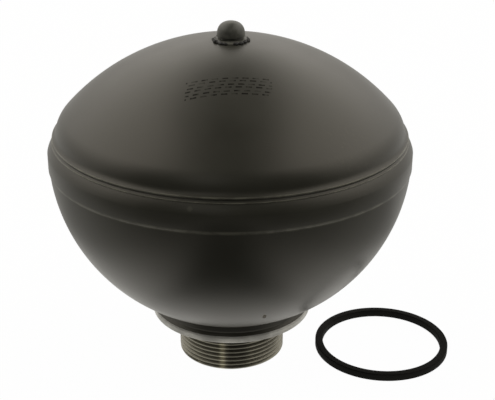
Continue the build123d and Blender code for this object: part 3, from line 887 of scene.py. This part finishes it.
def applied(piece):
    """Make a piece's modifiers part of its mesh."""
    bpy.context.view_layer.update()
    graph = bpy.context.evaluated_depsgraph_get()
    mesh = bpy.data.meshes.new_from_object(piece.evaluated_get(graph))
    mesh.name = piece.name
    mesh.shade_smooth()
    piece.modifiers.clear()
    old = piece.data
    piece.data = mesh
    bpy.data.meshes.remove(old)
    return piece


THREAD_STEPS = 144                      # steps in one turn of the thread


def thread_sleeve(bm, neck, foot, top):
    """Cut M35 thread as an open helical sleeve between two heights."""
    crest = neck.thread_radius
    root = crest - neck.thread_depth
    low, high = root + 0.12 * neck.thread_depth, crest - 0.10 * neck.thread_depth
    turn = [(0, root), (0.08, root), (0.16, low), (0.34, high), (0.41, crest - 0.01 * MM),
            (0.67, crest - 0.01 * MM), (0.74, high), (0.92, low), (1.0, root)]
    start = foot - 2 * neck.pitch
    turns = math.ceil((top - start) / neck.pitch) + 1
    verts = [bm.verts.new((r, 0, start + share * neck.pitch)) for share, r in turn]
    edges = [bm.edges.new(pair) for pair in zip(verts, verts[1:])]
    bmesh.ops.spin(bm, geom=verts + edges, cent=(0, 0, 0), axis=(0, 0, 1),
                   dvec=(0, 0, neck.pitch / THREAD_STEPS), angle=2 * math.pi * turns,
                   steps=THREAD_STEPS * turns, use_merge=False, use_duplicate=False)
    bmesh.ops.remove_doubles(bm, verts=bm.verts, dist=1e-6)
    for height, up in ((foot, -1), (top, 1)):
        bmesh.ops.bisect_plane(bm, geom=bm.verts[:] + bm.edges[:] + bm.faces[:], dist=1e-7,
                               plane_co=(0, 0, height), plane_no=(0, 0, up), clear_outer=True)
    for vert in bm.verts:
        limit = crest - neck.chamfer + (vert.co.z - foot)
        radius = math.hypot(vert.co.x, vert.co.y)
        if radius > limit:
            vert.co.x *= limit / radius
            vert.co.y *= limit / radius


def open_edges(bm, height, reach):
    """Edges with one face, near a height."""
    return [e for e in bm.edges if e.is_boundary and all(abs(v.co.z - height) < reach for v in e.verts)]


class ACCUMULATOR_OT_neck(bpy.types.Operator):
    """Cut the thread and spin the boss, its collar, seal recess and stepped bore"""
    bl_idname = "accumulator.neck"
    bl_label = "Threaded neck"

    def execute(self, context):
        neck, seal, shell, form = settings("neck"), settings("seal"), settings("shell"), ShellForm()
        thread_top = neck.length - neck.relief_width
        relief = neck.thread_radius - neck.relief_depth
        land = relief - 1.0 * MM
        gland_inner = seal.inner_radius - seal.clearance
        gland_outer = seal.inner_radius + seal.section + seal.clearance
        gland_top = neck.length + seal.section - seal.squeeze
        edge = neck.collar_radius - neck.collar_edge
        low_edge, lip_top = neck.length + neck.collar_edge, neck.length + neck.lip_height
        waist = (neck.waist, form.collar_top)
        run_out = at_radius(form.bowl_centre, shell.bowl_radius, neck.fillet_reach, -1)
        turn_in = (neck.waist + 0.4 * MM, form.collar_top + 3.1 * MM)
        passage = neck.bore_radius - neck.bore_step
        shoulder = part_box("damper_gasket")[1].z
        groove_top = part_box("damper_body")[0].z
        groove_foot = groove_top - neck.groove_height
        groove = neck.bore_radius + neck.groove_depth
        weld_edge = at_radius(form.bowl_centre, form.bowl_inside, neck.boss_radius, -1)
        flat_edge = at_height(form.bowl_centre, form.bowl_inside, form.boss_top)
        outline = (
            [(relief, thread_top + neck.relief_depth / 2), (relief, neck.length),
             (gland_inner, neck.length), (gland_inner, gland_top), (gland_outer, gland_top),
             (gland_outer, neck.length)]
            + arc((edge, low_edge), (edge, neck.length), (neck.collar_radius, low_edge), 4)
            + bent((neck.collar_radius, lip_top - 0.7 * MM), (neck.collar_radius, lip_top), waist, 6)[:-1]
            + bent(waist, turn_in, run_out, 16)
            + [(neck.boss_radius, form.collar_top + neck.boss_rise + 0.4 * MM)]
            + arc((0, form.bowl_centre), weld_edge, flat_edge, 6)
            + [(passage, form.boss_top), (passage, shoulder), (neck.bore_radius, shoulder),
               (neck.bore_radius, groove_top), (groove, groove_top), (groove, groove_foot),
               (neck.bore_radius, groove_foot), (neck.bore_radius, neck.bore_chamfer),
               (neck.bore_radius + neck.bore_chamfer, 0), (land, 0)]
        )
        bm = bmesh.new()
        thread_sleeve(bm, neck, 0.0, thread_top)
        spun(bm, outline, 160, closed=False)
        for height, reach in ((0.0, 0.05 * MM), (thread_top + neck.relief_depth / 4, 0.4 * MM)):
            bmesh.ops.bridge_loops(bm, edges=open_edges(bm, height, reach))
        looks = [finish_named(name) for name in ("neck_steel", "shell_paint", "collar_steel")]
        piece = finished("threaded_neck", bm, looks, sharp=38)
        painted_from = neck.length - 0.3 * MM
        for face in piece.data.polygons:
            reach = math.hypot(face.center.x, face.center.y)
            if reach > neck.thread_radius and face.center.z > painted_from:
                face.material_index = 2 if face.center.z < lip_top and reach > edge - 0.1 * MM else 1
        placed(piece, "housing", "neck_steel", "neck_boss")
        return {"FINISHED"}


class ACCUMULATOR_OT_seal(bpy.types.Operator):
    """Spin the loose square section seal ring"""
    bl_idname = "accumulator.seal"
    bl_label = "Seal ring"

    def execute(self, context):
        seal = settings("seal")
        low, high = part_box("sealing_ring")
        centre = ((low.x + high.x) / 2, (low.y + high.y) / 2)
        inner, outer, top, corner = seal.inner_radius, seal.inner_radius + seal.section, seal.section, seal.corner
        outline = []
        for r, z, start in ((outer - corner, corner, -90), (outer - corner, top - corner, 0),
                            (inner + corner, top - corner, 90), (inner + corner, corner, 180)):
            for k in range(6):
                turn = math.radians(start + 18 * k)
                outline.append((r + corner * math.cos(turn), z + corner * math.sin(turn)))
        bm = bmesh.new()
        spun(bm, outline, 192, centre=centre)
        piece = finished("black_seal_ring", bm, [finish_named("seal_rubber")], sharp=60)
        placed(piece, "housing", "seal_rubber", "sealing_ring")
        return {"FINISHED"}


class ACCUMULATOR_OT_diaphragm(bpy.types.Operator):
    """Spin the rubber diaphragm, with a hole at its centre for the button's stem"""
    bl_idname = "accumulator.diaphragm"
    bl_label = "Diaphragm"

    def execute(self, context):
        rubber_sizes, form = settings("rubber"), ShellForm()
        outside = form.bowl_inside - rubber_sizes.clearance
        inside = outside - rubber_sizes.sheet
        bead_top = form.ledge + rubber_sizes.bead_height
        bead_outer = form.rim_bore - rubber_sizes.clearance / 2
        bead_inner = bead_outer - rubber_sizes.bead_width
        hole = rubber_sizes.stem_radius + rubber_sizes.clearance
        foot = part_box("diaphragm")[0].z
        top = foot + rubber_sizes.sheet
        centre = (0, form.bowl_centre)
        round_off = 0.6 * MM
        outline = (
            arc((bead_inner + round_off, bead_top - round_off), (bead_inner, bead_top - round_off),
                (bead_inner + round_off, bead_top), 4)
            + arc((bead_outer - round_off, bead_top - round_off), (bead_outer - round_off, bead_top),
                  (bead_outer, bead_top - round_off), 4)
            + [(bead_outer, form.ledge)]
            + arc(centre, at_height(form.bowl_centre, outside, form.ledge),
                  at_height(form.bowl_centre, outside, foot), 40)
            + [(hole * 2, foot), (hole, foot), (hole, top), (hole * 2, top)]
            + arc(centre, at_height(form.bowl_centre, inside, top),
                  at_height(form.bowl_centre, inside, form.ledge), 40)
            + [(bead_inner, form.ledge + rubber_sizes.bead_step)]
        )
        bm = bmesh.new()
        spun(bm, outline, 128)
        piece = finished("rubber_diaphragm", bm, [finish_named("diaphragm_rubber")])
        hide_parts("diaphragm")
        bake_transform(piece)
        return {"FINISHED"}


class ACCUMULATOR_OT_inner_parts(bpy.types.Operator):
    """Give the pieces inside the sphere and its neck their finishes"""
    bl_idname = "accumulator.inner_parts"
    bl_label = "Inner parts"

    def execute(self, context):
        slots = {row["node"]: row["material_slot"] for row in frame["record"]["subparts"]}
        for name, node in frame["nodes"].items():
            material = finish_named(slots[name])
            if not node.data.materials:
                node.data.materials.append(material)
            for slot in node.material_slots:
                slot.material = material
        return {"FINISHED"}


# Stage

FLOOR_SHADOW = 0.018                    # how much of the floor's own shading shows


def stage_world():
    """White to the camera; round the object a bright back and sides, dim overhead and in front."""
    world = bpy.data.worlds.new("studio")
    bpy.context.scene.world = world
    world.use_nodes = True
    nodes = Nodes(world.node_tree)
    world.node_tree.nodes.clear()
    way = nodes.add("ShaderNodeSeparateXYZ")
    nodes.join(nodes.add("ShaderNodeTexCoord").outputs["Generated"], way.inputs[0])
    x, y, z = way.outputs
    rise = nodes.ramp(z, 0.0, 0.6, 0.68, 1.77)
    aside = nodes.math("MULTIPLY", nodes.math("ABSOLUTE", x), 1.05)
    overhead = nodes.ramp(nodes.math("SUBTRACT", z, aside), 0.29, 0.80, 1.0, 0.06)
    front = nodes.ramp(nodes.math("MULTIPLY_ADD", z, 0.26, y), -0.55, 0.15, 0.06, 1.0)
    level = nodes.math("MULTIPLY", nodes.math("MULTIPLY", rise, overhead), front)
    around = nodes.add("ShaderNodeBackground")
    around.inputs["Color"].default_value = (1.0, 0.96, 0.90, 1.0)
    nodes.join(level, around.inputs["Strength"])
    white = nodes.add("ShaderNodeBackground")
    white.inputs["Color"].default_value = (1.0, 1.0, 1.0, 1.0)
    seen = nodes.add("ShaderNodeLightPath").outputs["Is Camera Ray"]
    mixed = nodes.add("ShaderNodeMixShader")
    nodes.join(seen, mixed.inputs[0])
    nodes.join(around.outputs[0], mixed.inputs[1])
    nodes.join(white.outputs[0], mixed.inputs[2])
    nodes.join(mixed.outputs[0], nodes.add("ShaderNodeOutputWorld").inputs["Surface"])


def floor_material():
    """White to the camera with a trace of shadow; to everything else a glowing table of painted light: a bright
    pool round the neck, bright sides and back, and painted shadow in front.
    """
    material = bpy.data.materials.new("floor_white")
    material.use_nodes = True
    nodes = Nodes(material.node_tree)
    material.node_tree.nodes.clear()
    place = nodes.add("ShaderNodeTexCoord").outputs["Object"]
    parts = nodes.add("ShaderNodeSeparateXYZ")
    nodes.join(place, parts.inputs[0])
    x, y = parts.outputs[0], parts.outputs[1]
    reach = nodes.math("SQRT", nodes.math("ADD", nodes.math("MULTIPLY", x, x), nodes.math("MULTIPLY", y, y)))
    # Painted pool of light round the neck, seen only in reflections.
    near = nodes.ramp(reach, 0.036, 0.070, 0.86, 0.0)
    wide = nodes.math("ABSOLUTE", x)
    side = nodes.math("MULTIPLY", nodes.ramp(wide, 0.016, 0.045, 0.0, 0.95),
                      nodes.ramp(wide, 0.058, 0.105, 1.0, 0.45))
    side = nodes.math("MULTIPLY", side, nodes.ramp(x, 0.085, 0.12, 1.0, 0.8))
    # Painted shadow: the floor's glow dimmer in front of the object.
    side = nodes.math("MULTIPLY", side, nodes.ramp(y, -0.14, -0.02, 0.2, 1.0))
    level = nodes.math("MAXIMUM", near, side)
    level = nodes.math("MAXIMUM", level, nodes.ramp(y, 0.0, 0.08, 0.0, 0.62))
    glow = nodes.add("ShaderNodeEmission")
    glow.inputs["Color"].default_value = (1.0, 0.98, 0.93, 1.0)
    nodes.join(nodes.math("ADD", level, 0.07), glow.inputs["Strength"])
    plain = nodes.add("ShaderNodeBsdfDiffuse")
    plain.inputs["Color"].default_value = (0.9, 0.9, 0.9, 1.0)
    white = nodes.add("ShaderNodeEmission")
    seen = nodes.add("ShaderNodeMixShader")
    seen.inputs[0].default_value = FLOOR_SHADOW
    nodes.join(white.outputs[0], seen.inputs[1])
    nodes.join(plain.outputs[0], seen.inputs[2])
    final = nodes.add("ShaderNodeMixShader")
    nodes.join(nodes.add("ShaderNodeLightPath").outputs["Is Camera Ray"], final.inputs[0])
    nodes.join(glow.outputs[0], final.inputs[1])
    nodes.join(seen.outputs[0], final.inputs[2])
    nodes.join(final.outputs[0], nodes.add("ShaderNodeOutputMaterial").inputs["Surface"])
    return material


def softbox(name, place, aim, width, height, power):
    """A rectangular lamp that faces a point."""
    lamp = bpy.data.lights.new(name, "AREA")
    lamp.shape = "RECTANGLE"
    lamp.size, lamp.size_y, lamp.energy = width, height, power
    holder = bpy.data.objects.new(name, lamp)
    holder.location = place
    holder.rotation_euler = (Vector(aim) - Vector(place)).to_track_quat("-Z", "Y").to_euler()
    bpy.context.scene.collection.objects.link(holder)


class ACCUMULATOR_OT_stage(bpy.types.Operator):
    """Set the floor, the lamps, the world and the camera"""
    bl_idname = "accumulator.stage"
    bl_label = "Stage"

    def execute(self, context):
        view = settings("stage")
        bm = bmesh.new()
        bmesh.ops.create_grid(bm, x_segments=1, y_segments=1, size=3.0)
        bmesh.ops.translate(bm, vec=(0, 0, -0.02 * MM), verts=bm.verts)
        floor = finished("floor", bm, [floor_material()])
        stage_world()
        softbox("front_fill", (-0.16, -0.62, 0.50), (0, 0, 0.02), 0.30, 0.30, 0.12)
        lens = bpy.data.cameras.new("camera")
        lens.sensor_width = 36.0
        lens.lens = view.focal_px / view.frame_px * lens.sensor_width
        lens.shift_x = (view.frame_px / 2 - view.centre_px) / view.frame_px
        lens.shift_y = 0.5 / view.frame_px
        lens.clip_start = 0.01
        camera = bpy.data.objects.new("camera", lens)
        camera.location = (view.aside, -view.distance, view.height)
        tilt, roll = Matrix.Rotation(math.pi / 2 - view.pitch, 3, "X"), Matrix.Rotation(view.roll, 3, "Z")
        camera.rotation_euler = (tilt @ roll).to_euler()
        context.scene.collection.objects.link(camera)
        context.scene.camera = camera
        context.scene.view_settings.view_transform = "Standard"
        return {"FINISHED"}


OPERATORS = (
    ACCUMULATOR_OT_stage,
    ACCUMULATOR_OT_dome,
    ACCUMULATOR_OT_bowl,
    ACCUMULATOR_OT_plug,
    ACCUMULATOR_OT_neck,
    ACCUMULATOR_OT_seal,
    ACCUMULATOR_OT_diaphragm,
    ACCUMULATOR_OT_inner_parts,
)


class ACCUMULATOR_PT_build(bpy.types.Panel):
    """Buttons and sizes of the accumulator"""
    bl_idname = "ACCUMULATOR_PT_build"
    bl_label = "Accumulator"
    bl_space_type = "VIEW_3D"
    bl_region_type = "UI"
    bl_category = "Accumulator"

    def draw(self, context):
        for operator in OPERATORS:
            self.layout.operator(operator.bl_idname)
        for name, group in GROUPS.items():
            box = self.layout.box()
            box.label(text=group.__name__)
            for key in group.__annotations__:
                box.prop(getattr(context.scene, name), key)


CLASSES = (*GROUPS.values(), *OPERATORS, ACCUMULATOR_PT_build)


def register():
    for item in CLASSES:
        bpy.utils.register_class(item)
    for name, group in GROUPS.items():
        setattr(bpy.types.Scene, name, PointerProperty(type=group))


def unregister():
    for name in GROUPS:
        delattr(bpy.types.Scene, name)
    for item in reversed(CLASSES):
        bpy.utils.unregister_class(item)


def main():
    register()
    for operator in OPERATORS:
        folder, name = operator.bl_idname.split(".")
        getattr(getattr(bpy.ops, folder), name)()


if __name__ == "__main__":
    main()
